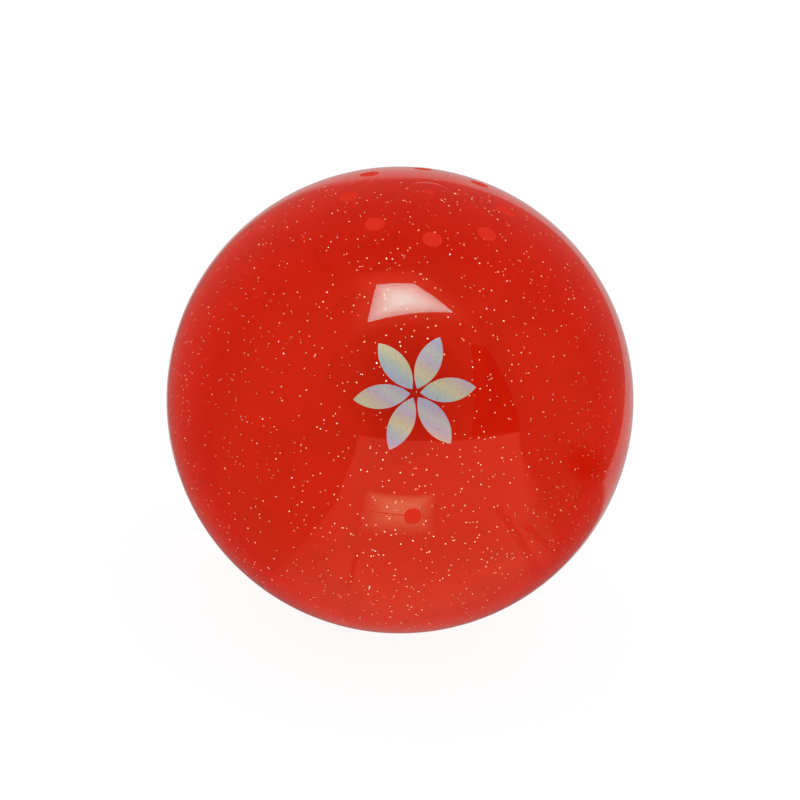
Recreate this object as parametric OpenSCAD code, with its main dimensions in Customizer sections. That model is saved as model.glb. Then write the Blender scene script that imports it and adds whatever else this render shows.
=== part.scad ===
// Ball for park golf and ground golf: a hollow two-part core inside a clear tinted cover.
// The origin is the centre of the ball, and +Z is the axis of the mould that made the cover.
// -Y points at the gate mark on the parting line.

/* [Ball] */
// Outside diameter of the ball, mm
ball_d = 60; // [48:0.5:75]
// Thickness of the clear cover, mm
cover_wall = 6; // [4:0.1:8]
// Bond line between the core and the cover, mm
bond_gap = 0.02; // [0.01:0.01:0.1]

/* [Hollow core] */
// Wall thickness of the two core halves, mm
core_wall = 7; // [5:0.1:9]
// Width of the weld tongue across the wall, mm
tongue_w = 2.4; // [1.6:0.1:3]
// Height of the weld tongue, mm
tongue_h = 2; // [1:0.1:3]
// Chamfer on the tongue's tip, mm
tongue_chamfer = 0.4; // [0.2:0.05:0.7]
// Side clearance between tongue and groove, mm
weld_gap = 0.05; // [0.02:0.01:0.15]
// Room for weld flash past the tongue's tip, mm
flash_room = 0.3; // [0.1:0.05:0.6]

/* [Hold pin marks] */
// Number of hold pins around each pole
pin_count = 8; // [4:1:10]
// Pitch circle diameter of the hold pins, mm
pin_pcd = 20; // [16:0.5:26]
// Diameter of each pin mark, mm
pin_d = 2.5; // [1.5:0.1:3.2]
// Step down at the rim of a pin mark, mm
pin_step = 0.01; // [0.005:0.005:0.1]

/* [Vent marks] */
// Diameter of the vent pin mark at each pole, mm
vent_d = 1.5; // [1:0.1:2.5]
// Step down at the rim of the vent pin mark, mm
vent_step = 0.01; // [0.005:0.005:0.1]
// Diameter of the vent insert's witness ring, mm
vent_ring_d = 6; // [4.5:0.1:8]
// Width of the witness ring, mm
vent_ring_w = 0.12; // [0.08:0.01:0.25]
// Depth of the witness ring, mm
vent_ring_depth = 0.015; // [0.01:0.005:0.04]

/* [Parting line and gate] */
// Width of the parting line around the equator, mm
parting_w = 0.16; // [0.1:0.01:0.3]
// Depth of the parting line, mm
parting_depth = 0.02; // [0.01:0.005:0.05]
// Diameter of the gate mark, mm
gate_d = 2.2; // [1.5:0.1:3]
// Step down at the rim of the gate mark, mm
gate_step = 0.04; // [0.04:0.005:0.15]

/* [Foil mark] */
// Length of one petal of the foil rosette, mm
petal_l = 7; // [5:0.1:8.5]
// Width of one petal, mm
petal_w = 3; // [2:0.1:3.4]
// Number of petals
petal_count = 6; // [4:1:6]
// Distance from the rosette's middle to the petals' inner points, mm
petal_start = 0.6; // [0.4:0.1:1.5]
// Thickness of the hot-stamped foil, mm
foil_t = 0.05; // [0.03:0.01:0.1]
// Latitude of the rosette's middle, degrees
mark_lat = 30; // [20:1:35]
// Turn of the rosette's middle away from the gate, degrees
mark_lon = -3; // [-40:1:40]
// Turn of the rosette about its own middle, degrees
mark_spin = 12; // [0:1:60]

/* [Hidden] */
$fn = 128;
ball_r = ball_d / 2;
cavity_r = ball_r - cover_wall;
core_r = cavity_r - bond_gap;
void_r = core_r - core_wall;
weld_r = (core_r + void_r) / 2;
pin_polar = asin(pin_pcd / 2 / ball_r);
// How far a cutter reaches past the ball
reach = 1;
// How far below the surface a petal's cutter starts
petal_root = petal_l;

cover_colour = [0.78, 0.1, 0.06, 0.6];
core_colour = [0.85, 0.16, 0.07];
foil_colour = [0.8, 0.78, 0.82];

// How far the ball rises over the rim of a round flat
function rise(d) = ball_r - sqrt(pow(ball_r, 2) - pow(d / 2, 2));

// Half of a round section, to be turned about +Z
module half_ring(outer_r, inner_r) {
    difference() {
        circle(r = outer_r);
        circle(r = inner_r);
        translate([-outer_r - reach, -outer_r - reach])
            square([outer_r + reach, 2 * (outer_r + reach)]);
    }
}

// Section of a shallow round-bottomed line around the ball, at a latitude
module witness_line(w, depth, latitude) {
    bow_r = (pow(w / 2, 2) + pow(depth, 2)) / (2 * depth);
    rotate(latitude)
        translate([ball_r - depth + bow_r, 0])
            circle(r = bow_r);
}

// The cover's section, with the flats of the vent pins, their rings and the parting line
module cover_section() {
    vent_ring_latitude = acos(vent_ring_d / 2 / ball_r);
    difference() {
        half_ring(ball_r, cavity_r);
        witness_line(parting_w, parting_depth, 0);
        for (side = [-1, 1]) {
            witness_line(vent_ring_w, vent_ring_depth, side * vent_ring_latitude);
            translate([0, side * (ball_r - rise(vent_d) - vent_step + reach / 2)])
                square([vent_d, reach], center = true);
        }
    }
}

// A flat-ended cutter that leaves a round flat with a step at its rim, at a polar angle and a turn
module round_mark(d, step, polar, turn) {
    depth = rise(d) + step;
    rotate([0, 0, turn])
        rotate([polar, 0, 0])
            translate([0, 0, ball_r - depth])
                cylinder(d = d, h = depth + reach);
}

module hold_pin_marks() {
    for (i = [0 : pin_count - 1])
        for (polar = [pin_polar, 180 - pin_polar])
            round_mark(pin_d, pin_step, polar, i * 360 / pin_count);
}

// One petal: the lens where two equal circles cross, pointing along +X
module petal() {
    bow_r = (pow(petal_l / 2, 2) + pow(petal_w / 2, 2)) / petal_w;
    translate([petal_start + petal_l / 2, 0])
        intersection_for (side = [-1, 1])
            translate([0, side * (bow_r - petal_w / 2)])
                circle(r = bow_r);
}

// The rosette as a layer between two radii, in its place on the ball
module rosette(inner_r, outer_r) {
    rotate([0, 0, mark_lon])
        rotate([90 - mark_lat, 0, 0])
            for (i = [0 : petal_count - 1])
                intersection() {
                    difference() {
                        sphere(r = outer_r);
                        sphere(r = inner_r);
                    }
                    translate([0, 0, ball_r - petal_root])
                        linear_extrude(petal_root + 2 * reach)
                            rotate(mark_spin + i * 360 / petal_count)
                                petal();
                }
}

// The weld tongue's section, grown by a gap at its sides and a room at its tip
module tongue_section(gap, room) {
    half_w = tongue_w / 2 + gap;
    top = tongue_h + room;
    polygon([
        [weld_r - half_w, -reach],
        [weld_r + half_w, -reach],
        [weld_r + half_w, top - tongue_chamfer],
        [weld_r + half_w - tongue_chamfer, top],
        [weld_r - half_w + tongue_chamfer, top],
        [weld_r - half_w, top - tongue_chamfer]
    ]);
}

module below_equator() {
    translate([-reach, -ball_d])
        square([ball_d, ball_d]);
}

module cover() {
    color(cover_colour)
        difference() {
            rotate_extrude()
                cover_section();
            hold_pin_marks();
            round_mark(gate_d, gate_step, 90, 0);
            rosette(ball_r - foil_t, ball_r + reach);
        }
}

module core_upper_half() {
    color(core_colour)
        rotate_extrude()
            difference() {
                half_ring(core_r, void_r);
                below_equator();
                tongue_section(weld_gap, flash_room);
            }
}

module core_lower_half() {
    color(core_colour)
        rotate_extrude()
            union() {
                intersection() {
                    half_ring(core_r, void_r);
                    below_equator();
                }
                tongue_section(0, 0);
            }
}

module foil_mark() {
    color(foil_colour)
        rosette(ball_r - foil_t, ball_r);
}

cover();
core_upper_half();
core_lower_half();
foil_mark();
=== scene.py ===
"""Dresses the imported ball: a clear red resin cover with glitter, its hollow core and a foil rosette.

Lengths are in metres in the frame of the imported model. The origin is the ball's centre, +Z is the axis
of the cover's mould and -Y points at the gate mark.
"""

import math
import random

import bmesh
import bpy
from bpy.props import (
    FloatProperty,
    FloatVectorProperty,
    IntProperty,
    PointerProperty,
)
from bpy.types import Operator, Panel, PropertyGroup
from mathutils import Matrix, Vector


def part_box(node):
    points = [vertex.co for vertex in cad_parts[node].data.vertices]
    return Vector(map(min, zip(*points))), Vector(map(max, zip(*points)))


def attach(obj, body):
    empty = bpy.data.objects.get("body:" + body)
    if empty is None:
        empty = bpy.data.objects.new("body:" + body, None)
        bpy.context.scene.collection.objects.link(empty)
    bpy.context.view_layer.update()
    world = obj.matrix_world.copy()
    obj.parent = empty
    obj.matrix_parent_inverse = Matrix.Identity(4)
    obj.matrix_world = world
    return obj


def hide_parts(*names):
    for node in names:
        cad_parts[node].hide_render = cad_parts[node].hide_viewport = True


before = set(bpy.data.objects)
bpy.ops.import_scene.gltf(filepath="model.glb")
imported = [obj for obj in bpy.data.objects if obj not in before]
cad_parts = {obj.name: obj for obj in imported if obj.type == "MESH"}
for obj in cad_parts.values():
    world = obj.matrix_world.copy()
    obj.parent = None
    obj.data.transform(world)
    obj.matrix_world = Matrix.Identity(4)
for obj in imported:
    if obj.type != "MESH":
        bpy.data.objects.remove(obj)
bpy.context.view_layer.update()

bl_info = {
    "name": "Glitter ball",
    "version": (1, 0, 0),
    "blender": (4, 5, 0),
    "location": "3D View > Sidebar > Ball",
    "description": "Builds a clear resin ball with glitter, a foil rosette and its studio",
    "category": "Object",
}

MM = 0.001
BALL_R = round(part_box("cover")[1].x / MM, 2) * MM
CORE_R = round(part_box("core_upper_half")[1].x / MM, 2) * MM
BODY = "root"

# Segments around the cover's skin and around its inner wall, and steps along and across a petal
SKIN_SEGMENTS = 256
WALL_SEGMENTS = 128
PETAL_STEPS = (40, 14)
# How far the cover's inner wall sinks into the core, and how far the flakes keep from the cover's walls
CORE_BITE = 0.1 * MM
FLAKE_MARGIN = 0.3 * MM
# Flakes that share one small mesh while they are made, which is faster than one large one
FLAKE_BATCH = 200
# A cut takes a corner that is this near as lying on it
SNAP = 0.0001 * MM

# Real sizes of the patterns on the materials
HAZE_PATCH = 8 * MM
PIN_GRAIN = 0.15 * MM
FLOW_CLOUD = 9 * MM
FLAKE_CELL = 0.6 * MM
RAINBOW_PITCH = 6 * MM
PINHOLE = 0.16 * MM
GRATING_PITCH = 0.25 * MM
PAPER_FIBRE = 2 * MM
# Scale at which a wave texture repeats once in a metre
WAVE_TURN = 2 * math.pi / 20
# Sockets of a colour mix: its two colours, and what comes out
FIRST, SECOND, MIXED = 6, 7, 2

# The studio's dark end, and the half angles at which it and the grey wall behind start and are full
DARK_END = Vector((0.12, -0.87, 0.47)).normalized()
DARK_FROM, DARK_FULL = math.radians(40), math.radians(26)
GREY_FROM, GREY_FULL = math.radians(37), math.radians(12)
# How steeply the walls brighten from front to back, and the share of that at which they are fully red
BACK_RISE = 2.5
RED_FULL = 0.33
# Light inside the resin from the table and from above, as shares of the surround
FROM_TABLE = 1.12
FROM_ABOVE = 1.05
# Darkness that is left at the edge of a dark strip
STRIP_EDGE = 0.3
# Width of the camera's sensor in millimetres, and how far it sees in metres
SENSOR_WIDTH = 36
SIGHT = 20


def linear(code):
    """The linear RGBA of an sRGB hex colour."""
    parts = [int(code[i : i + 2], 16) / 255 for i in (1, 3, 5)]
    return tuple(
        c / 12.92 if c <= 0.04045 else ((c + 0.055) / 1.055) ** 2.4 for c in parts
    ) + (1.0,)


WHITE = linear("#FFFFFF")


def size(name, description, default_mm):
    """A length that is set in millimetres."""
    return FloatProperty(
        name=name,
        description=description,
        default=default_mm * MM,
        min=0.0,
        unit="LENGTH",
        precision=5,
    )


def angle(name, description, default_deg):
    """An angle that is set in degrees."""
    return FloatProperty(
        name=name,
        description=description,
        default=math.radians(default_deg),
        subtype="ANGLE",
    )


def brightness(name, description, default):
    """How bright a part of the studio is."""
    return FloatProperty(name=name, description=description, default=default, min=0.0)


def colour(name, description, code):
    """A colour that is set as sRGB hex."""
    return FloatVectorProperty(
        name=name,
        description=description,
        default=linear(code),
        size=4,
        min=0.0,
        max=1.0,
        subtype="COLOR",
    )


class BallCoverSettings(PropertyGroup):
    """Sizes and colours of the cover and of the marks that its mould leaves."""

    pin_circle: size("Pin circle", "Pitch circle diameter of the hold pins", 20)
    pin_width: size("Pin mark", "Diameter of a hold pin mark", 2.5)
    pin_depth: size("Pin depth", "Depth of a hold pin mark", 0.03)
    pin_count: IntProperty(
        name="Pins", description="Hold pins at each pole", default=8, min=3
    )
    vent_width: size("Vent mark", "Diameter of the vent pin mark", 1.5)
    vent_depth: size("Vent depth", "Depth of the vent pin mark", 0.02)
    vent_ring: size("Vent ring", "Diameter of the vent insert's ring", 6)
    vent_ring_width: size("Vent ring width", "Width of that ring", 0.12)
    vent_ring_depth: size("Vent ring depth", "Depth of that ring", 0.01)
    gate_width: size("Gate mark", "Diameter of the gate mark", 2.2)
    gate_depth: size("Gate depth", "Depth of the gate mark", 0.06)
    parting_width: size("Parting line", "Width of the parting line", 0.16)
    parting_depth: size("Parting depth", "Depth of the parting line", 0.011)
    resin: colour("Resin", "Colour that the resin lets through", "#FFF0DC")
    mark: colour("Pin marks", "Colour of the mark faces", "#DC2A14")
    density: FloatProperty(
        name="Tint",
        description="How strongly the resin takes up light, per metre",
        default=220.0,
        min=0.0,
    )


class BallCoreSettings(PropertyGroup):
    """Colours of the core."""

    resin: colour("Core", "Main colour of the core", "#EF2E18")
    flow: colour("Flow marks", "Colour of the core's flow marks", "#E72B14")


class BallGlitterSettings(PropertyGroup):
    """Number, size and colour of the glitter flakes."""

    count: IntProperty(name="Flakes", description="Number of flakes", default=4200, min=1)
    smallest: size("Smallest", "Width of the smallest flake", 0.09)
    largest: size("Largest", "Width of the largest flake", 0.2)
    thickness: size("Thickness", "Thickness of a flake", 0.02)
    tilt: angle("Tilt", "Typical tilt of a flake out of the cover's skin", 10)
    seed: IntProperty(name="Seed", description="Seed of the scatter", default=60)
    silver: colour("Silver", "Colour of the flakes", "#FFF7EA")
    pearl: colour("Pearl", "Second colour of the flakes", "#F4DCAC")


class BallFoilSettings(PropertyGroup):
    """Sizes, place and colours of the foil rosette."""

    petal_length: size("Petal length", "Length of one petal", 7)
    petal_width: size("Petal width", "Width of one petal", 3)
    petal_start: size("Petal start", "Gap from the middle to a petal", 0.6)
    petal_count: IntProperty(
        name="Petals", description="Number of petals", default=6, min=3
    )
    thickness: size("Thickness", "Thickness of the foil", 0.05)
    proud: size("Proud", "How far the foil stands off the cover", 0.012)
    latitude: angle("Latitude", "Latitude of the rosette's middle", 30)
    longitude: angle("Longitude", "Turn from the gate mark", -3)
    spin: angle("Spin", "Turn of the rosette about its middle", 12)
    pinhole: colour("Pinholes", "Colour that shows through the pinholes", "#A05A50")


class BallStageSettings(PropertyGroup):
    """Floor, lights and camera."""

    floor: colour("Floor", "Colour of the floor", "#5A5A59")
    floor_width: size("Floor width", "Width of the floor", 6000)
    azimuth: angle("Azimuth", "Camera azimuth from the gate", -6.8)
    elevation: angle("Elevation", "Camera elevation", 27.97)
    roll: angle("Roll", "Camera roll", 8.04)
    distance: size("Distance", "Camera distance from the ball's centre", 646.2)
    lens: FloatProperty(
        name="Lens", description="Focal length of the camera, mm", default=226.2, min=1.0
    )
    surround: brightness("Surround", "Brightness of the studio", 1.04)
    front_wall: brightness("Front wall", "Brightness of the dark end behind the camera", 0.13)
    side_wall: brightness("Side walls", "Brightness of the walls at the sides", 0.17)
    back_wall: brightness("Back wall", "Brightness of the wall behind the ball", 0.8)
    sheet: brightness("Front sheet", "Brightness of the table in front", 1.3)
    # Painted pool of light: the bright spot lit on the table in front, seen only in the ball's gloss
    tile: brightness("Front tile", "Brightness of the bright spot in front", 2.6)
    backdrop: brightness("Backdrop", "Brightness of the backdrop", 0.32)
    softbox: brightness("Softbox", "Brightness of the overhead softbox", 14.5)
    spill: brightness("Spill", "Brightness of the haze around the softbox", 1.8)
    lamp: colour("Lamp", "Colour of the softbox", "#ADFFF6")
    spot: colour("Spot", "Colour of the bright spot in front", "#FFF0B4")
    table_red: colour("Red table", "Colour of the table where the ball's red falls", "#FF8A70")
    backdrop_tint: colour("Backdrop tint", "Colour of the backdrop", "#E8FFFA")
    near_walls: colour("Near walls", "Colour of the walls in front and at the sides", "#FFFFBC")
    walls: colour("Walls", "Colour of the walls behind", "#FF8376")
    far_wall: colour("Far wall", "Colour of the wall straight behind the ball", "#B19391")
    table: brightness("Table light", "Light that comes up through the floor", 0.92)


def add(tree, kind, settings=None, values=None, links=None):
    """Adds a node, sets its attributes and socket values, and links its inputs."""
    node = tree.nodes.new(kind)
    for name, value in (settings or {}).items():
        setattr(node, name, value)
    for socket, value in (values or {}).items():
        node.inputs[socket].default_value = value
    for socket, source in (links or {}).items():
        tree.links.new(source, node.inputs[socket])
    return node


def empty_material(name):
    """A material with no nodes yet, and its node tree."""
    material = bpy.data.materials.new(name)
    material.use_nodes = True
    material.node_tree.nodes.clear()
    return material, material.node_tree


def polished_ionomer_resin(cover):
    """Clear tinted ionomer, injection moulded and polished: a sharp wet gloss over a deep red body that
    you see into. The faces that the mould's pins left are dull and scatter light, so they glow."""
    material, tree = empty_material("ionomer_resin_moulded_polished")
    place = add(tree, "ShaderNodeTexCoord").outputs["Object"]
    mark = add(
        tree, "ShaderNodeAttribute", {"attribute_name": "mould_mark"}
    ).outputs["Fac"]
    # Handling leaves faint patches of haze
    haze = add(
        tree,
        "ShaderNodeTexNoise",
        values={"Scale": 1 / HAZE_PATCH, "Detail": 3.0, "Roughness": 0.55},
        links={"Vector": place},
    ).outputs["Fac"]
    gloss = add(
        tree,
        "ShaderNodeMapRange",
        values={"From Min": 0.3, "From Max": 0.75, "To Min": 0.012, "To Max": 0.035},
        links={"Value": haze},
    ).outputs["Result"]
    roughness = add(
        tree,
        "ShaderNodeMix",
        {"data_type": "FLOAT"},
        {"B": 0.5},
        {"Factor": mark, "A": gloss},
    ).outputs["Result"]
    clear = add(
        tree,
        "ShaderNodeMapRange",
        values={"To Min": 1.0, "To Max": 0.1},
        links={"Value": mark},
    ).outputs["Result"]
    shine = add(
        tree,
        "ShaderNodeMapRange",
        values={"To Min": 0.5, "To Max": 0.02},
        links={"Value": mark},
    ).outputs["Result"]
    tint = add(
        tree,
        "ShaderNodeMix",
        {"data_type": "RGBA"},
        {FIRST: WHITE, SECOND: cover.mark},
        {"Factor": mark},
    ).outputs[MIXED]
    # The turned end of a pin leaves a fine grain
    grain = add(
        tree,
        "ShaderNodeTexNoise",
        values={"Scale": 1 / PIN_GRAIN, "Detail": 2.0},
        links={"Vector": place},
    ).outputs["Fac"]
    dull = add(
        tree,
        "ShaderNodeMath",
        {"operation": "MULTIPLY"},
        links={0: grain, 1: mark},
    ).outputs["Value"]
    bump = add(
        tree,
        "ShaderNodeBump",
        values={"Strength": 0.1, "Distance": 0.004 * MM},
        links={"Height": dull},
    ).outputs["Normal"]
    surface = add(
        tree,
        "ShaderNodeBsdfPrincipled",
        values={"IOR": 1.51},
        links={
            "Base Color": tint,
            "Roughness": roughness,
            "Transmission Weight": clear,
            "Specular IOR Level": shine,
            "Normal": bump,
        },
    ).outputs["BSDF"]
    depth = add(
        tree,
        "ShaderNodeVolumeAbsorption",
        values={"Color": cover.resin, "Density": cover.density},
    ).outputs["Volume"]
    add(
        tree,
        "ShaderNodeOutputMaterial",
        links={"Surface": surface, "Volume": depth},
    )
    return material


def opaque_core_resin(core):
    """Opaque pigmented resin as moulded: an even satin red with soft clouds where the melt flowed."""
    material, tree = empty_material("core_resin_moulded_satin")
    place = add(tree, "ShaderNodeTexCoord").outputs["Object"]
    clouds = add(
        tree,
        "ShaderNodeTexNoise",
        values={
            "Scale": 1 / FLOW_CLOUD,
            "Detail": 4.0,
            "Roughness": 0.5,
            "Distortion": 0.9,
        },
        links={"Vector": place},
    ).outputs["Fac"]
    spread = add(
        tree,
        "ShaderNodeMapRange",
        {"interpolation_type": "SMOOTHSTEP"},
        {"From Min": 0.35, "From Max": 0.65},
        {"Value": clouds},
    ).outputs["Result"]
    tint = add(
        tree,
        "ShaderNodeMix",
        {"data_type": "RGBA"},
        {FIRST: core.flow, SECOND: core.resin},
        {"Factor": spread},
    ).outputs[MIXED]
    surface = add(
        tree,
        "ShaderNodeBsdfPrincipled",
        values={"Roughness": 0.5, "IOR": 1.5, "Specular IOR Level": 0.0},
        links={"Base Color": tint},
    ).outputs["BSDF"]
    add(tree, "ShaderNodeOutputMaterial", links={"Surface": surface})
    return material


def silver_glitter(glitter):
    """Polyester film, vacuum coated with aluminium and die cut: small bright mirrors."""
    material, tree = empty_material("aluminium_coated_polyester_flake")
    place = add(tree, "ShaderNodeTexCoord").outputs["Object"]
    # One random value for each small cell, so that neighbours differ
    cell = add(
        tree,
        "ShaderNodeTexVoronoi",
        {"feature": "F1"},
        {"Scale": 1 / FLAKE_CELL},
        {"Vector": place},
    ).outputs["Color"]
    pick = add(
        tree, "ShaderNodeSeparateColor", links={"Color": cell}
    ).outputs["Red"]
    tint = add(
        tree,
        "ShaderNodeMix",
        {"data_type": "RGBA"},
        {FIRST: glitter.silver, SECOND: glitter.pearl},
        {"Factor": pick},
    ).outputs[MIXED]
    roughness = add(
        tree,
        "ShaderNodeMapRange",
        values={"To Min": 0.18, "To Max": 0.32},
        links={"Value": pick},
    ).outputs["Result"]
    surface = add(
        tree,
        "ShaderNodeBsdfPrincipled",
        values={"Metallic": 1.0},
        links={"Base Color": tint, "Roughness": roughness},
    ).outputs["BSDF"]
    add(tree, "ShaderNodeOutputMaterial", links={"Surface": surface})
    return material


FOIL_BANDS = (
    (0.00, "#C9C5C4"),
    (0.16, "#BDB2CC"),
    (0.30, "#B4BCD0"),
    (0.44, "#C2C8BE"),
    (0.58, "#D9CDA8"),
    (0.72, "#D6BFB2"),
    (0.86, "#C8B8CC"),
    (1.00, "#C9C5C4"),
)


def holographic_foil(foil):
    """Aluminised foil, embossed with a rainbow grating and hot stamped: silver with pastel bands, and
    pinholes where the stamp skipped and the red shows through."""
    material, tree = empty_material("holographic_foil_hot_stamped")
    place = add(tree, "ShaderNodeTexCoord").outputs["Object"]
    # The rainbow repeats along a slant
    slant = add(
        tree,
        "ShaderNodeMapping",
        values={"Rotation": (0.0, math.radians(66), 0.0)},
        links={"Vector": place},
    ).outputs["Vector"]
    bands = add(
        tree,
        "ShaderNodeTexWave",
        {"wave_type": "BANDS", "bands_direction": "X", "wave_profile": "SAW"},
        {
            "Scale": WAVE_TURN / RAINBOW_PITCH,
            "Distortion": 1.6,
            "Detail": 2.0,
            "Detail Scale": 0.8,
        },
        {"Vector": slant},
    ).outputs["Fac"]
    rainbow = add(tree, "ShaderNodeValToRGB", links={"Fac": bands})
    ramp = rainbow.color_ramp.elements
    ramp[0].position, ramp[0].color = FOIL_BANDS[0][0], linear(FOIL_BANDS[0][1])
    ramp[1].position, ramp[1].color = FOIL_BANDS[-1][0], linear(FOIL_BANDS[-1][1])
    for position, code in FOIL_BANDS[1:-1]:
        ramp.new(position).color = linear(code)
    # Pinholes where the noise peaks
    skips = add(
        tree,
        "ShaderNodeTexNoise",
        values={"Scale": 1 / PINHOLE, "Detail": 1.0, "Roughness": 0.4},
        links={"Vector": place},
    ).outputs["Fac"]
    pinholes = add(
        tree,
        "ShaderNodeMapRange",
        {"interpolation_type": "SMOOTHSTEP"},
        {"From Min": 0.62, "From Max": 0.76, "To Max": 0.6},
        {"Value": skips},
    ).outputs["Result"]
    worn = add(
        tree,
        "ShaderNodeMix",
        {"data_type": "RGBA"},
        {SECOND: foil.pinhole},
        {"Factor": pinholes, FIRST: rainbow.outputs["Color"]},
    ).outputs[MIXED]
    # The real grating is far too fine to see, so it is drawn coarser, to show as a faint sparkle
    grating = add(
        tree,
        "ShaderNodeTexWave",
        {"wave_type": "BANDS", "bands_direction": "DIAGONAL"},
        {"Scale": WAVE_TURN / GRATING_PITCH},
        {"Vector": slant},
    ).outputs["Fac"]
    bump = add(
        tree,
        "ShaderNodeBump",
        values={"Strength": 0.15, "Distance": 0.01 * MM},
        links={"Height": grating},
    ).outputs["Normal"]
    surface = add(
        tree,
        "ShaderNodeBsdfPrincipled",
        values={"Metallic": 0.35, "Roughness": 0.3},
        links={"Base Color": worn, "Normal": bump},
    ).outputs["BSDF"]
    add(tree, "ShaderNodeOutputMaterial", links={"Surface": surface})
    return material


def white_paper(stage):
    """Smooth white photographic paper."""
    material, tree = empty_material("paper_sweep_matte")
    place = add(tree, "ShaderNodeTexCoord").outputs["Object"]
    fibres = add(
        tree,
        "ShaderNodeTexNoise",
        values={"Scale": 1 / PAPER_FIBRE, "Detail": 3.0},
        links={"Vector": place},
    ).outputs["Fac"]
    roughness = add(
        tree,
        "ShaderNodeMapRange",
        values={"To Min": 0.85, "To Max": 1.0},
        links={"Value": fibres},
    ).outputs["Result"]
    surface = add(
        tree,
        "ShaderNodeBsdfPrincipled",
        values={
            "Base Color": stage.floor,
            "Specular IOR Level": 0.0,
            "Emission Color": WHITE,
            "Emission Strength": stage.table,
        },
        links={"Roughness": roughness},
    ).outputs["BSDF"]
    add(tree, "ShaderNodeOutputMaterial", links={"Surface": surface})
    return material


def glowing_card(name, tint, strength):
    """A sheer lit card, as bright as its mesh says, with a painted shadow of the ball where it comes near
    the ball.
    """
    material, tree = empty_material(name)
    place = add(tree, "ShaderNodeTexCoord").outputs["Object"]
    away = add(
        tree, "ShaderNodeVectorMath", {"operation": "LENGTH"}, links={0: place}
    ).outputs["Value"]
    # Painted shadow of the ball: a card that is nearer than four radii is dimmed by up to a fifth
    shaded = add(
        tree,
        "ShaderNodeMapRange",
        values={
            "From Min": 1.3 * BALL_R,
            "From Max": 4 * BALL_R,
            "To Min": 0.8 * strength,
            "To Max": strength,
        },
        links={"Value": away},
    ).outputs["Result"]
    lit = add(tree, "ShaderNodeAttribute", {"attribute_name": "lit"}).outputs["Fac"]
    light = add(
        tree,
        "ShaderNodeMath",
        {"operation": "MULTIPLY"},
        links={0: shaded, 1: lit},
    ).outputs["Value"]
    glow = add(
        tree,
        "ShaderNodeEmission",
        values={"Color": tint},
        links={"Strength": light},
    ).outputs["Emission"]
    sheer = add(tree, "ShaderNodeBsdfTransparent").outputs["BSDF"]
    surface = add(tree, "ShaderNodeAddShader", links={0: glow, 1: sheer}).outputs["Shader"]
    add(tree, "ShaderNodeOutputMaterial", links={"Surface": surface})
    return material


def dark_card(name, depth):
    """A card that takes away a share of the light behind it, less where its mesh says so."""
    material, tree = empty_material(name)
    lit = add(tree, "ShaderNodeAttribute", {"attribute_name": "lit"}).outputs["Fac"]
    share = add(
        tree, "ShaderNodeMath", {"operation": "MULTIPLY"}, {1: depth}, {0: lit}
    ).outputs["Value"]
    sheer = add(tree, "ShaderNodeBsdfTransparent").outputs["BSDF"]
    black = add(
        tree, "ShaderNodeEmission", values={"Strength": 0.0}
    ).outputs["Emission"]
    surface = add(
        tree, "ShaderNodeMixShader", links={0: share, 1: sheer, 2: black}
    ).outputs["Shader"]
    add(tree, "ShaderNodeOutputMaterial", links={"Surface": surface})
    return material


def soft_card(name, corners, core, material):
    """A card whose effect is full across its core, a share of its size. Each corner gives its place and the
    share of the effect that is left there."""
    bm = bmesh.new()
    layer = bm.verts.layers.float.new("lit")
    outline = [bm.verts.new(corner[:3]) for corner in corners]
    for vert, corner in zip(outline, corners):
        vert[layer] = corner[3]
    face = bmesh.ops.contextual_create(bm, geom=outline)["faces"][0]
    middle = face.calc_center_median()
    inner = bmesh.ops.extrude_discrete_faces(bm, faces=[face])["faces"][0]
    for vert in inner.verts:
        vert.co = middle + (vert.co - middle) * core
        vert[layer] = 1.0
    card = piece(name, bm, material)
    card.visible_camera = False
    card.visible_diffuse = False
    card.visible_transmission = False
    card.visible_shadow = False


def oval(middle, along, across):
    """Eight corners of an oval card that fades out at its rim."""
    turns = [i * math.pi / 4 for i in range(8)]
    return [
        (*(Vector(middle) + Vector(along) * math.cos(t) + Vector(across) * math.sin(t)), 0)
        for t in turns
    ]


def strip(start, end, width):
    """Corners of a strip just over the table, from one place to another in millimetres. It tapers to half
    of its width and fades at its edges."""
    start, end = Vector(start) * MM, Vector(end) * MM
    side = (end - start).orthogonal().normalized() * width * MM / 2
    flat = (start + side, start - side, end - side / 2, end + side / 2)
    return [(*corner, MM - BALL_R, STRIP_EDGE) for corner in flat]


def piece(name, bm, material):
    """A new object at the origin from a bmesh."""
    mesh = bpy.data.meshes.new(name)
    bm.to_mesh(mesh)
    bm.free()
    mesh.materials.append(material)
    made = bpy.data.objects.new(name, mesh)
    bpy.context.scene.collection.objects.link(made)
    return made


def pole_turn(polar, turn):
    """Turns +Z down to -Y by the polar angle, and then about +Z."""
    return Matrix.Rotation(turn, 4, "Z") @ Matrix.Rotation(polar, 4, "X")


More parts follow.
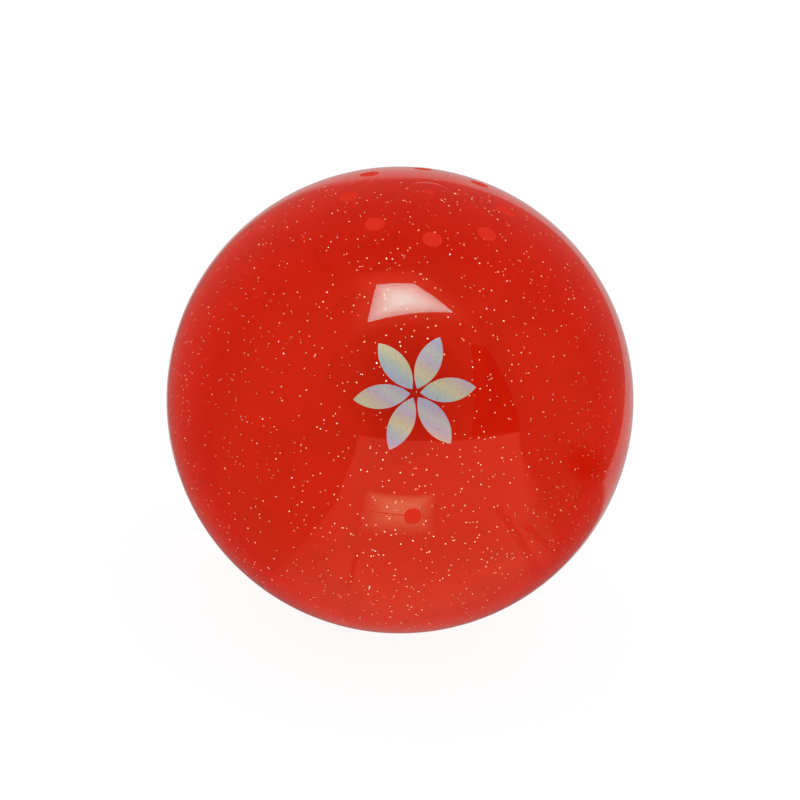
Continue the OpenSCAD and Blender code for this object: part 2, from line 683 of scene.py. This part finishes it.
def press_mark(bm, layer, direction, width, depth):
    """Cuts the ball flat across a circle of that width, and sinks the flat to its depth. The skin around
    it is cut finer first, so that the circle comes out round."""
    top = direction * BALL_R
    near = {v for v in bm.verts if (v.co - top).length < width}
    fine = bmesh.ops.subdivide_edges(
        bm,
        edges=[e for e in bm.edges if near.issuperset(e.verts)],
        cuts=3,
        use_grid_fill=True,
    )["geom_inner"]
    for vert in fine:
        if isinstance(vert, bmesh.types.BMVert):
            vert.co = vert.co.normalized() * BALL_R
    flat = math.sqrt(BALL_R**2 - (width / 2) ** 2)
    cut = bmesh.ops.bisect_plane(
        bm,
        geom=bm.verts[:] + bm.edges[:] + bm.faces[:],
        dist=SNAP,
        plane_co=direction * flat,
        plane_no=direction,
        clear_outer=True,
    )
    rim = [e for e in cut["geom_cut"] if isinstance(e, bmesh.types.BMEdge)]
    face = bmesh.ops.contextual_create(bm, geom=rim)["faces"][0]
    face.normal_update()
    if face.normal.dot(direction) < 0:
        face.normal_flip()
    sunk = bmesh.ops.extrude_discrete_faces(bm, faces=[face])["faces"][0]
    bmesh.ops.translate(
        bm, verts=sunk.verts, vec=-direction * (depth - (BALL_R - flat))
    )
    sunk[layer] = 1.0
    sunk.smooth = False
    for edge in sunk.edges:
        edge.smooth = False
        for side in edge.link_faces:
            side.smooth = False
            for rim_edge in side.edges:
                rim_edge.smooth = False


def ring_groove(bm, heights, depth, crisp):
    """Cuts the ball at three heights, and draws the middle loop in to make a fine groove. Its edges are
    crisp or worn soft."""
    for height in heights:
        loop = bmesh.ops.bisect_plane(
            bm,
            geom=bm.verts[:] + bm.edges[:] + bm.faces[:],
            dist=SNAP,
            plane_co=(0, 0, height),
            plane_no=(0, 0, 1),
        )["geom_cut"]
        for edge in loop:
            if isinstance(edge, bmesh.types.BMEdge):
                edge.smooth = not crisp
    for vert in bm.verts:
        on_loop = abs(vert.co.z - heights[1]) < 10 * SNAP
        if on_loop and vert.co.length > BALL_R - 10 * SNAP:
            vert.co -= vert.co.normalized() * depth


class BALL_OT_core(Operator):
    """Gives the two halves of the core their resin"""

    bl_idname = "ball.core"
    bl_label = "Core"

    def execute(self, context):
        resin = opaque_core_resin(context.scene.ball_core)
        for name in ("core_upper_half", "core_lower_half"):
            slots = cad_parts[name].data.materials
            slots.clear()
            slots.append(resin)
        return {"FINISHED"}


class BALL_OT_cover(Operator):
    """Builds the clear cover with the marks of its mould"""

    bl_idname = "ball.cover"
    bl_label = "Cover"

    def execute(self, context):
        cover = context.scene.ball_cover
        bm = bmesh.new()
        layer = bm.faces.layers.float.new("mould_mark")
        bmesh.ops.create_uvsphere(
            bm, u_segments=SKIN_SEGMENTS, v_segments=SKIN_SEGMENTS // 2, radius=BALL_R
        )
        for face in bm.faces:
            face.smooth = True
        pin_polar = math.asin(cover.pin_circle / 2 / BALL_R)
        for polar in (pin_polar, math.pi - pin_polar):
            for i in range(cover.pin_count):
                turn = pole_turn(polar, 2 * math.pi * i / cover.pin_count)
                press_mark(
                    bm, layer, turn @ Vector((0, 0, 1)), cover.pin_width, cover.pin_depth
                )
        press_mark(bm, layer, Vector((0, -1, 0)), cover.gate_width, cover.gate_depth)
        ring_groove(
            bm,
            (-cover.parting_width / 2, 0.0, cover.parting_width / 2),
            cover.parting_depth,
            crisp=True,
        )
        for side in (1, -1):
            pole = Vector((0, 0, side))
            press_mark(bm, layer, pole, cover.vent_width, cover.vent_depth)
            ring_groove(
                bm,
                [
                    side * math.sqrt(BALL_R**2 - (cover.vent_ring / 2 + offset) ** 2)
                    for offset in (-cover.vent_ring_width / 2, 0, cover.vent_ring_width / 2)
                ],
                cover.vent_ring_depth,
                crisp=False,
            )
        # The inner wall sinks a little into the core, so that no film of air lies between them
        inside = bmesh.ops.create_uvsphere(
            bm,
            u_segments=WALL_SEGMENTS,
            v_segments=WALL_SEGMENTS // 2,
            radius=CORE_R - CORE_BITE,
        )["verts"]
        walls = list({f for v in inside for f in v.link_faces})
        bmesh.ops.reverse_faces(bm, faces=walls)
        for face in walls:
            face.smooth = True
        made = piece("cover_shell", bm, polished_ionomer_resin(cover))
        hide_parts("cover")
        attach(made, BODY)
        return {"FINISHED"}


class BALL_OT_glitter(Operator):
    """Scatters silver flakes through the cover"""

    bl_idname = "ball.glitter"
    bl_label = "Glitter"

    def execute(self, context):
        glitter = context.scene.ball_glitter
        dice = random.Random(glitter.seed)
        deep = (CORE_R + FLAKE_MARGIN) ** 3
        shallow = (BALL_R - FLAKE_MARGIN) ** 3
        all_flakes = bmesh.new()
        batch = bpy.data.meshes.new("flake_batch")
        left = glitter.count
        while left > 0:
            bm = bmesh.new()
            for _ in range(min(left, FLAKE_BATCH)):
                height = dice.uniform(-1, 1)
                turn = dice.uniform(0, 2 * math.pi)
                depth = dice.uniform(deep, shallow) ** (1 / 3)
                tilt = dice.gauss(0, glitter.tilt)
                spin = dice.uniform(0, 2 * math.pi)
                width = dice.uniform(glitter.smallest, glitter.largest)
                bmesh.ops.create_cone(
                    bm,
                    cap_ends=True,
                    segments=6,
                    radius1=width / 2,
                    radius2=width / 2,
                    depth=glitter.thickness,
                    matrix=pole_turn(math.acos(height), turn)
                    @ Matrix.Translation((0, 0, depth))
                    @ Matrix.Rotation(spin, 4, "Z")
                    @ Matrix.Rotation(tilt, 4, "X"),
                )
            left -= FLAKE_BATCH
            bm.to_mesh(batch)
            bm.free()
            all_flakes.from_mesh(batch)
        bpy.data.meshes.remove(batch)
        made = piece("glitter_flakes", all_flakes, silver_glitter(glitter))
        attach(made, BODY)
        return {"FINISHED"}


class BALL_OT_foil(Operator):
    """Lays the foil rosette on the cover"""

    bl_idname = "ball.foil"
    bl_label = "Foil rosette"

    def execute(self, context):
        foil = context.scene.ball_foil
        bow = (foil.petal_length**2 + foil.petal_width**2) / (4 * foil.petal_width)
        middle = foil.petal_start + foil.petal_length / 2
        seat = pole_turn(math.pi / 2 - foil.latitude, foil.longitude)
        bm = bmesh.new()
        for i in range(foil.petal_count):
            verts = bmesh.ops.create_grid(
                bm, x_segments=PETAL_STEPS[0], y_segments=PETAL_STEPS[1], size=1.0
            )["verts"]
            turn = Matrix.Rotation(
                foil.spin + 2 * math.pi * i / foil.petal_count, 3, "Z"
            )
            for vert in verts:
                along = math.sin(vert.co.x * math.pi / 2) * foil.petal_length / 2
                half = math.sqrt(bow**2 - along**2) - (bow - foil.petal_width / 2)
                flat = turn @ Vector((middle + along, vert.co.y * half, 0))
                flat.z = math.sqrt((BALL_R + foil.proud) ** 2 - flat.length_squared)
                vert.co = flat
        bmesh.ops.remove_doubles(bm, verts=bm.verts, dist=10 * SNAP)
        skin = bm.faces[:]
        bmesh.ops.recalc_face_normals(bm, faces=skin)
        for face in skin:
            face.normal_update()
            if face.normal.z < 0:
                face.normal_flip()
        under = bmesh.ops.duplicate(bm, geom=bm.verts[:] + bm.edges[:] + skin)["geom"]
        sunk = [g for g in under if isinstance(g, bmesh.types.BMVert)]
        lower = [g for g in under if isinstance(g, bmesh.types.BMFace)]
        for vert in sunk:
            vert.co -= vert.co.normalized() * foil.thickness
        bmesh.ops.reverse_faces(bm, faces=lower)
        open_edges = [e for e in bm.edges if e.is_boundary]
        bmesh.ops.bridge_loops(bm, edges=open_edges, use_pairs=True)
        bmesh.ops.transform(bm, matrix=seat, verts=bm.verts)
        for face in bm.faces:
            face.smooth = True
        for edge in open_edges:
            if edge.is_valid:
                edge.smooth = False
        made = piece("foil_rosette", bm, holographic_foil(foil))
        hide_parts("foil_mark")
        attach(made, BODY)
        return {"FINISHED"}


def lay_floor(stage):
    """The table that the ball stands on. Neither the gloss nor the resin shows it."""
    bm = bmesh.new()
    bmesh.ops.create_grid(
        bm,
        x_segments=1,
        y_segments=1,
        size=stage.floor_width / 2,
        matrix=Matrix.Translation((0, 0, -BALL_R)),
    )
    floor = piece("floor", bm, white_paper(stage))
    floor.visible_glossy = False
    floor.visible_transmission = False


def hang_cards(stage):
    """Bright and dark cards around the ball that show in its gloss alone."""
    # Cards that only the gloss of the ball sees: colour, brightness, share of the size that is fully
    # lit, and corners in metres with the share of the brightness there
    ground = -BALL_R
    cards = {
        "overhead_softbox": (
            stage.lamp,
            stage.softbox,
            0.2,
            [
                (-0.305, -0.055, 1.0, 0.35),
                (-0.030, -0.066, 1.0, 0.35),
                (0.300, -0.292, 1.0, 0.35),
                (-0.450, -0.432, 1.0, 0.35),
            ],
        ),
        "softbox_spill": (
            stage.table_red,
            stage.spill,
            0.35,
            [
                (-0.50, 0.10, 1.02, 0),
                (0.10, 0.08, 1.02, 0),
                (0.58, -0.38, 1.02, 0),
                (-0.72, -0.62, 1.02, 0),
            ],
        ),
        "front_sheet": (
            stage.table_red,
            stage.sheet,
            0.93,
            [
                (-0.019, -0.009, ground, 0),
                (0.034, -0.006, ground, 0),
                (0.99, -0.69, ground, 1),
                (-0.497, -1.11, ground, 1),
                (-0.0365, -0.073, ground, 0.8),
            ],
        ),
        "front_card": (
            stage.table_red,
            stage.sheet,
            0.93,
            [
                (0.99, -0.69, ground, 1),
                (-0.497, -1.11, ground, 1),
                (-0.497, -1.11, 0.16, 0.5),
                (0.99, -0.69, 0.16, 0.5),
            ],
        ),
        # Painted pool of light on the table in front, a glowing card that only the gloss sees
        "front_light_pool": (
            stage.spot,
            stage.tile,
            0.3,
            [
                (-0.034, -0.120, ground + MM, 0),
                (0.032, -0.134, ground + MM, 0),
                (0.015, -0.061, ground + MM, 0),
                (-0.016, -0.056, ground + MM, 0),
            ],
        ),
        "back_card": (
            stage.backdrop_tint,
            stage.backdrop,
            0.86,
            [
                (-0.24, 0.9, -0.62, 0),
                (0.18, 0.9, -0.77, 0),
                (0.50, 0.9, -0.72, 0),
                (1.43, 0.9, -0.97, 0),
                (1.47, 0.9, -0.90, 0),
                (0.92, 0.9, -0.42, 0),
                (0.63, 0.9, -0.24, 0),
                (0.40, 0.9, -0.07, 0),
                (0.22, 0.9, 0.16, 0),
                (-0.01, 0.9, 0.25, 0),
                (-0.13, 0.9, 0.16, 0),
                (-0.16, 0.9, 0.02, 0),
            ],
        ),
    }
    for name, (tint, strength, core, corners) in cards.items():
        soft_card(name, corners, core, glowing_card(name, tint, strength))
    # Dark cards that dim what lies behind them in the gloss: how much, share of the size that is fully
    # dark, and corners with the share there
    shades = {
        "dark_panel": (
            1.0,
            0.9,
            [
                (0.52, -0.56, 0.96, 1),
                (0.67, -0.51, 0.90, 1),
                (1.01, -0.68, 0.16, 1),
                (0.60, -1.05, 0.24, 1),
            ],
        ),
        "dark_spot": (
            1.0,
            0.3,
            oval((0.37, 0.03, -0.12), (-0.04, 0.155, -0.055), (0.025, -0.03, 0.07)),
        ),
        "dark_strip_right": (0.43, 0.5, strip((60, -73), (29, -10), 6)),
        "dark_strip_far_right": (0.43, 0.5, strip((51, -41), (38, -11), 4.6)),
        "dark_strip_left": (0.43, 0.5, strip((-11.7, -45), (-8.4, -28), 2)),
    }
    for name, (depth, core, corners) in shades.items():
        soft_card(name, corners, core, dark_card(name, depth))


def light_room(scene, stage, back):
    """Light from all around. The gloss sees tinted walls, the resin an even glow and the flakes many small
    lamps."""
    world = bpy.data.worlds.new("studio")
    scene.world = world
    world.use_nodes = True
    world.cycles.sampling_method = "NONE"
    tree = world.node_tree
    tree.nodes.clear()
    path = add(tree, "ShaderNodeLightPath")
    mirrored = add(
        tree,
        "ShaderNodeMath",
        {"operation": "MULTIPLY"},
        links={
            0: path.outputs["Is Glossy Ray"],
            1: path.outputs["Is Reflection Ray"],
        },
    ).outputs["Value"]
    direction = add(tree, "ShaderNodeTexCoord").outputs["Generated"]
    towards = add(tree, "ShaderNodeSeparateXYZ", links={"Vector": direction})
    behind = add(
        tree,
        "ShaderNodeMapRange",
        values={"From Min": -1.0},
        links={"Value": towards.outputs["Y"]},
    ).outputs["Result"]
    rise = add(
        tree,
        "ShaderNodeMath",
        {"operation": "POWER"},
        {1: BACK_RISE},
        {0: behind},
    ).outputs["Value"]
    # The end of the room behind the camera is dark
    facing = add(
        tree,
        "ShaderNodeVectorMath",
        {"operation": "DOT_PRODUCT"},
        {1: DARK_END},
        {0: direction},
    ).outputs["Value"]
    sides = add(
        tree,
        "ShaderNodeMapRange",
        {"interpolation_type": "SMOOTHSTEP"},
        {
            "From Min": math.cos(DARK_FROM),
            "From Max": math.cos(DARK_FULL),
            "To Min": stage.side_wall,
            "To Max": stage.front_wall,
        },
        {"Value": facing},
    ).outputs["Result"]
    walls = add(
        tree,
        "ShaderNodeMix",
        {"data_type": "FLOAT"},
        {"B": stage.back_wall},
        {"A": sides, "Factor": rise},
    ).outputs["Result"]
    # More light reaches the core from the lit table than from above
    glow = add(
        tree,
        "ShaderNodeMapRange",
        values={
            "From Min": -1.0,
            "To Min": FROM_TABLE * stage.surround,
            "To Max": FROM_ABOVE * stage.surround,
        },
        links={"Value": towards.outputs["Z"]},
    ).outputs["Result"]
    # Flakes mirror many small lamps and dark gaps, so some flash and some don't
    lamps = add(
        tree,
        "ShaderNodeTexNoise",
        values={"Scale": 5.0, "Detail": 2.0},
        links={"Vector": direction},
    ).outputs["Fac"]
    flash = add(
        tree,
        "ShaderNodeMapRange",
        {"interpolation_type": "SMOOTHSTEP"},
        {"From Min": 0.4, "From Max": 0.7, "To Min": 0.5, "To Max": 4.0},
        {"Value": lamps},
    ).outputs["Result"]
    # The lamps hang in front and overhead, and fewer stand at the sides
    aside = add(
        tree,
        "ShaderNodeMath",
        {"operation": "ABSOLUTE"},
        links={0: towards.outputs["X"]},
    ).outputs["Value"]
    fewer = add(
        tree,
        "ShaderNodeMapRange",
        values={"From Min": 0.3, "From Max": 0.9, "To Min": 1.0, "To Max": 0.35},
        links={"Value": aside},
    ).outputs["Result"]
    sparkle = add(
        tree,
        "ShaderNodeMath",
        {"operation": "MULTIPLY"},
        links={0: flash, 1: fewer},
    ).outputs["Value"]
    unscattered = add(
        tree,
        "ShaderNodeMath",
        {"operation": "LESS_THAN"},
        {1: 0.5},
        {0: path.outputs["Diffuse Depth"]},
    ).outputs["Value"]
    through = add(
        tree,
        "ShaderNodeMix",
        {"data_type": "FLOAT"},
        links={"A": glow, "B": sparkle, "Factor": unscattered},
    ).outputs["Result"]
    open_air = add(
        tree,
        "ShaderNodeMix",
        {"data_type": "FLOAT"},
        {"A": stage.surround},
        {"B": through, "Factor": path.outputs["Is Transmission Ray"]},
    ).outputs["Result"]
    strength = add(
        tree,
        "ShaderNodeMix",
        {"data_type": "FLOAT"},
        links={"A": open_air, "B": walls, "Factor": mirrored},
    ).outputs["Result"]
    # The walls turn red towards the back, as far as the grey wall straight behind the ball
    beyond = add(
        tree,
        "ShaderNodeVectorMath",
        {"operation": "DOT_PRODUCT"},
        {1: -back},
        {0: direction},
    ).outputs["Value"]
    grey = add(
        tree,
        "ShaderNodeMapRange",
        values={
            "From Min": math.cos(GREY_FROM),
            "From Max": math.cos(GREY_FULL),
        },
        links={"Value": beyond},
    ).outputs["Result"]
    reddened = add(
        tree,
        "ShaderNodeMapRange",
        values={"From Max": RED_FULL},
        links={"Value": rise},
    ).outputs["Result"]
    near = add(
        tree,
        "ShaderNodeMix",
        {"data_type": "RGBA"},
        {FIRST: stage.near_walls, SECOND: stage.walls},
        {"Factor": reddened},
    ).outputs[MIXED]
    wall = add(
        tree,
        "ShaderNodeMix",
        {"data_type": "RGBA"},
        {SECOND: stage.far_wall},
        {"Factor": grey, FIRST: near},
    ).outputs[MIXED]
    air = add(
        tree,
        "ShaderNodeMix",
        {"data_type": "RGBA"},
        {FIRST: WHITE},
        {"Factor": mirrored, SECOND: wall},
    ).outputs[MIXED]
    sky = add(
        tree,
        "ShaderNodeBackground",
        links={"Color": air, "Strength": strength},
    ).outputs["Background"]
    add(tree, "ShaderNodeOutputWorld", links={"Surface": sky})


def place_camera(scene, stage, back):
    """The camera, out along a direction from the ball's centre."""
    camera = bpy.data.objects.new("camera", bpy.data.cameras.new("camera"))
    scene.collection.objects.link(camera)
    camera.data.lens = stage.lens
    camera.data.sensor_width = SENSOR_WIDTH
    camera.data.clip_end = SIGHT
    level = (-back).to_track_quat("-Z", "Y").to_matrix().to_4x4()
    camera.matrix_world = (
        Matrix.Translation(back * stage.distance)
        @ level
        @ Matrix.Rotation(stage.roll, 4, "Z")
    )
    scene.camera = camera


class BALL_OT_stage(Operator):
    """Sets the floor, the lights and the camera"""

    bl_idname = "ball.stage"
    bl_label = "Stage"

    def execute(self, context):
        scene = context.scene
        stage = scene.ball_stage
        scene.view_settings.view_transform = "Standard"
        lay_floor(stage)
        hang_cards(stage)
        back = Vector(
            (
                math.sin(stage.azimuth) * math.cos(stage.elevation),
                -math.cos(stage.azimuth) * math.cos(stage.elevation),
                math.sin(stage.elevation),
            )
        )
        light_room(scene, stage, back)
        place_camera(scene, stage, back)
        return {"FINISHED"}


class BALL_PT_panel(Panel):
    """Lists the steps that build the ball"""

    bl_idname = "BALL_PT_panel"
    bl_label = "Glitter ball"
    bl_space_type = "VIEW_3D"
    bl_region_type = "UI"
    bl_category = "Ball"

    def draw(self, context):
        for step, group in STEPS:
            self.layout.operator(step.bl_idname)
            settings = getattr(context.scene, group)
            box = self.layout.box()
            for name in settings.__annotations__:
                box.prop(settings, name)


STEPS = (
    (BALL_OT_core, "ball_core"),
    (BALL_OT_cover, "ball_cover"),
    (BALL_OT_glitter, "ball_glitter"),
    (BALL_OT_foil, "ball_foil"),
    (BALL_OT_stage, "ball_stage"),
)
GROUPS = {
    "ball_core": BallCoreSettings,
    "ball_cover": BallCoverSettings,
    "ball_glitter": BallGlitterSettings,
    "ball_foil": BallFoilSettings,
    "ball_stage": BallStageSettings,
}


def register():
    for name, group in GROUPS.items():
        bpy.utils.register_class(group)
        setattr(bpy.types.Scene, name, PointerProperty(type=group))
    for step, _ in STEPS:
        bpy.utils.register_class(step)
    bpy.utils.register_class(BALL_PT_panel)


def unregister():
    bpy.utils.unregister_class(BALL_PT_panel)
    for step, _ in reversed(STEPS):
        bpy.utils.unregister_class(step)
    for name, group in GROUPS.items():
        delattr(bpy.types.Scene, name)
        bpy.utils.unregister_class(group)


def main():
    register()
    bpy.ops.ball.core()
    bpy.ops.ball.cover()
    bpy.ops.ball.glitter()
    bpy.ops.ball.foil()
    bpy.ops.ball.stage()


if __name__ == "__main__":
    main()
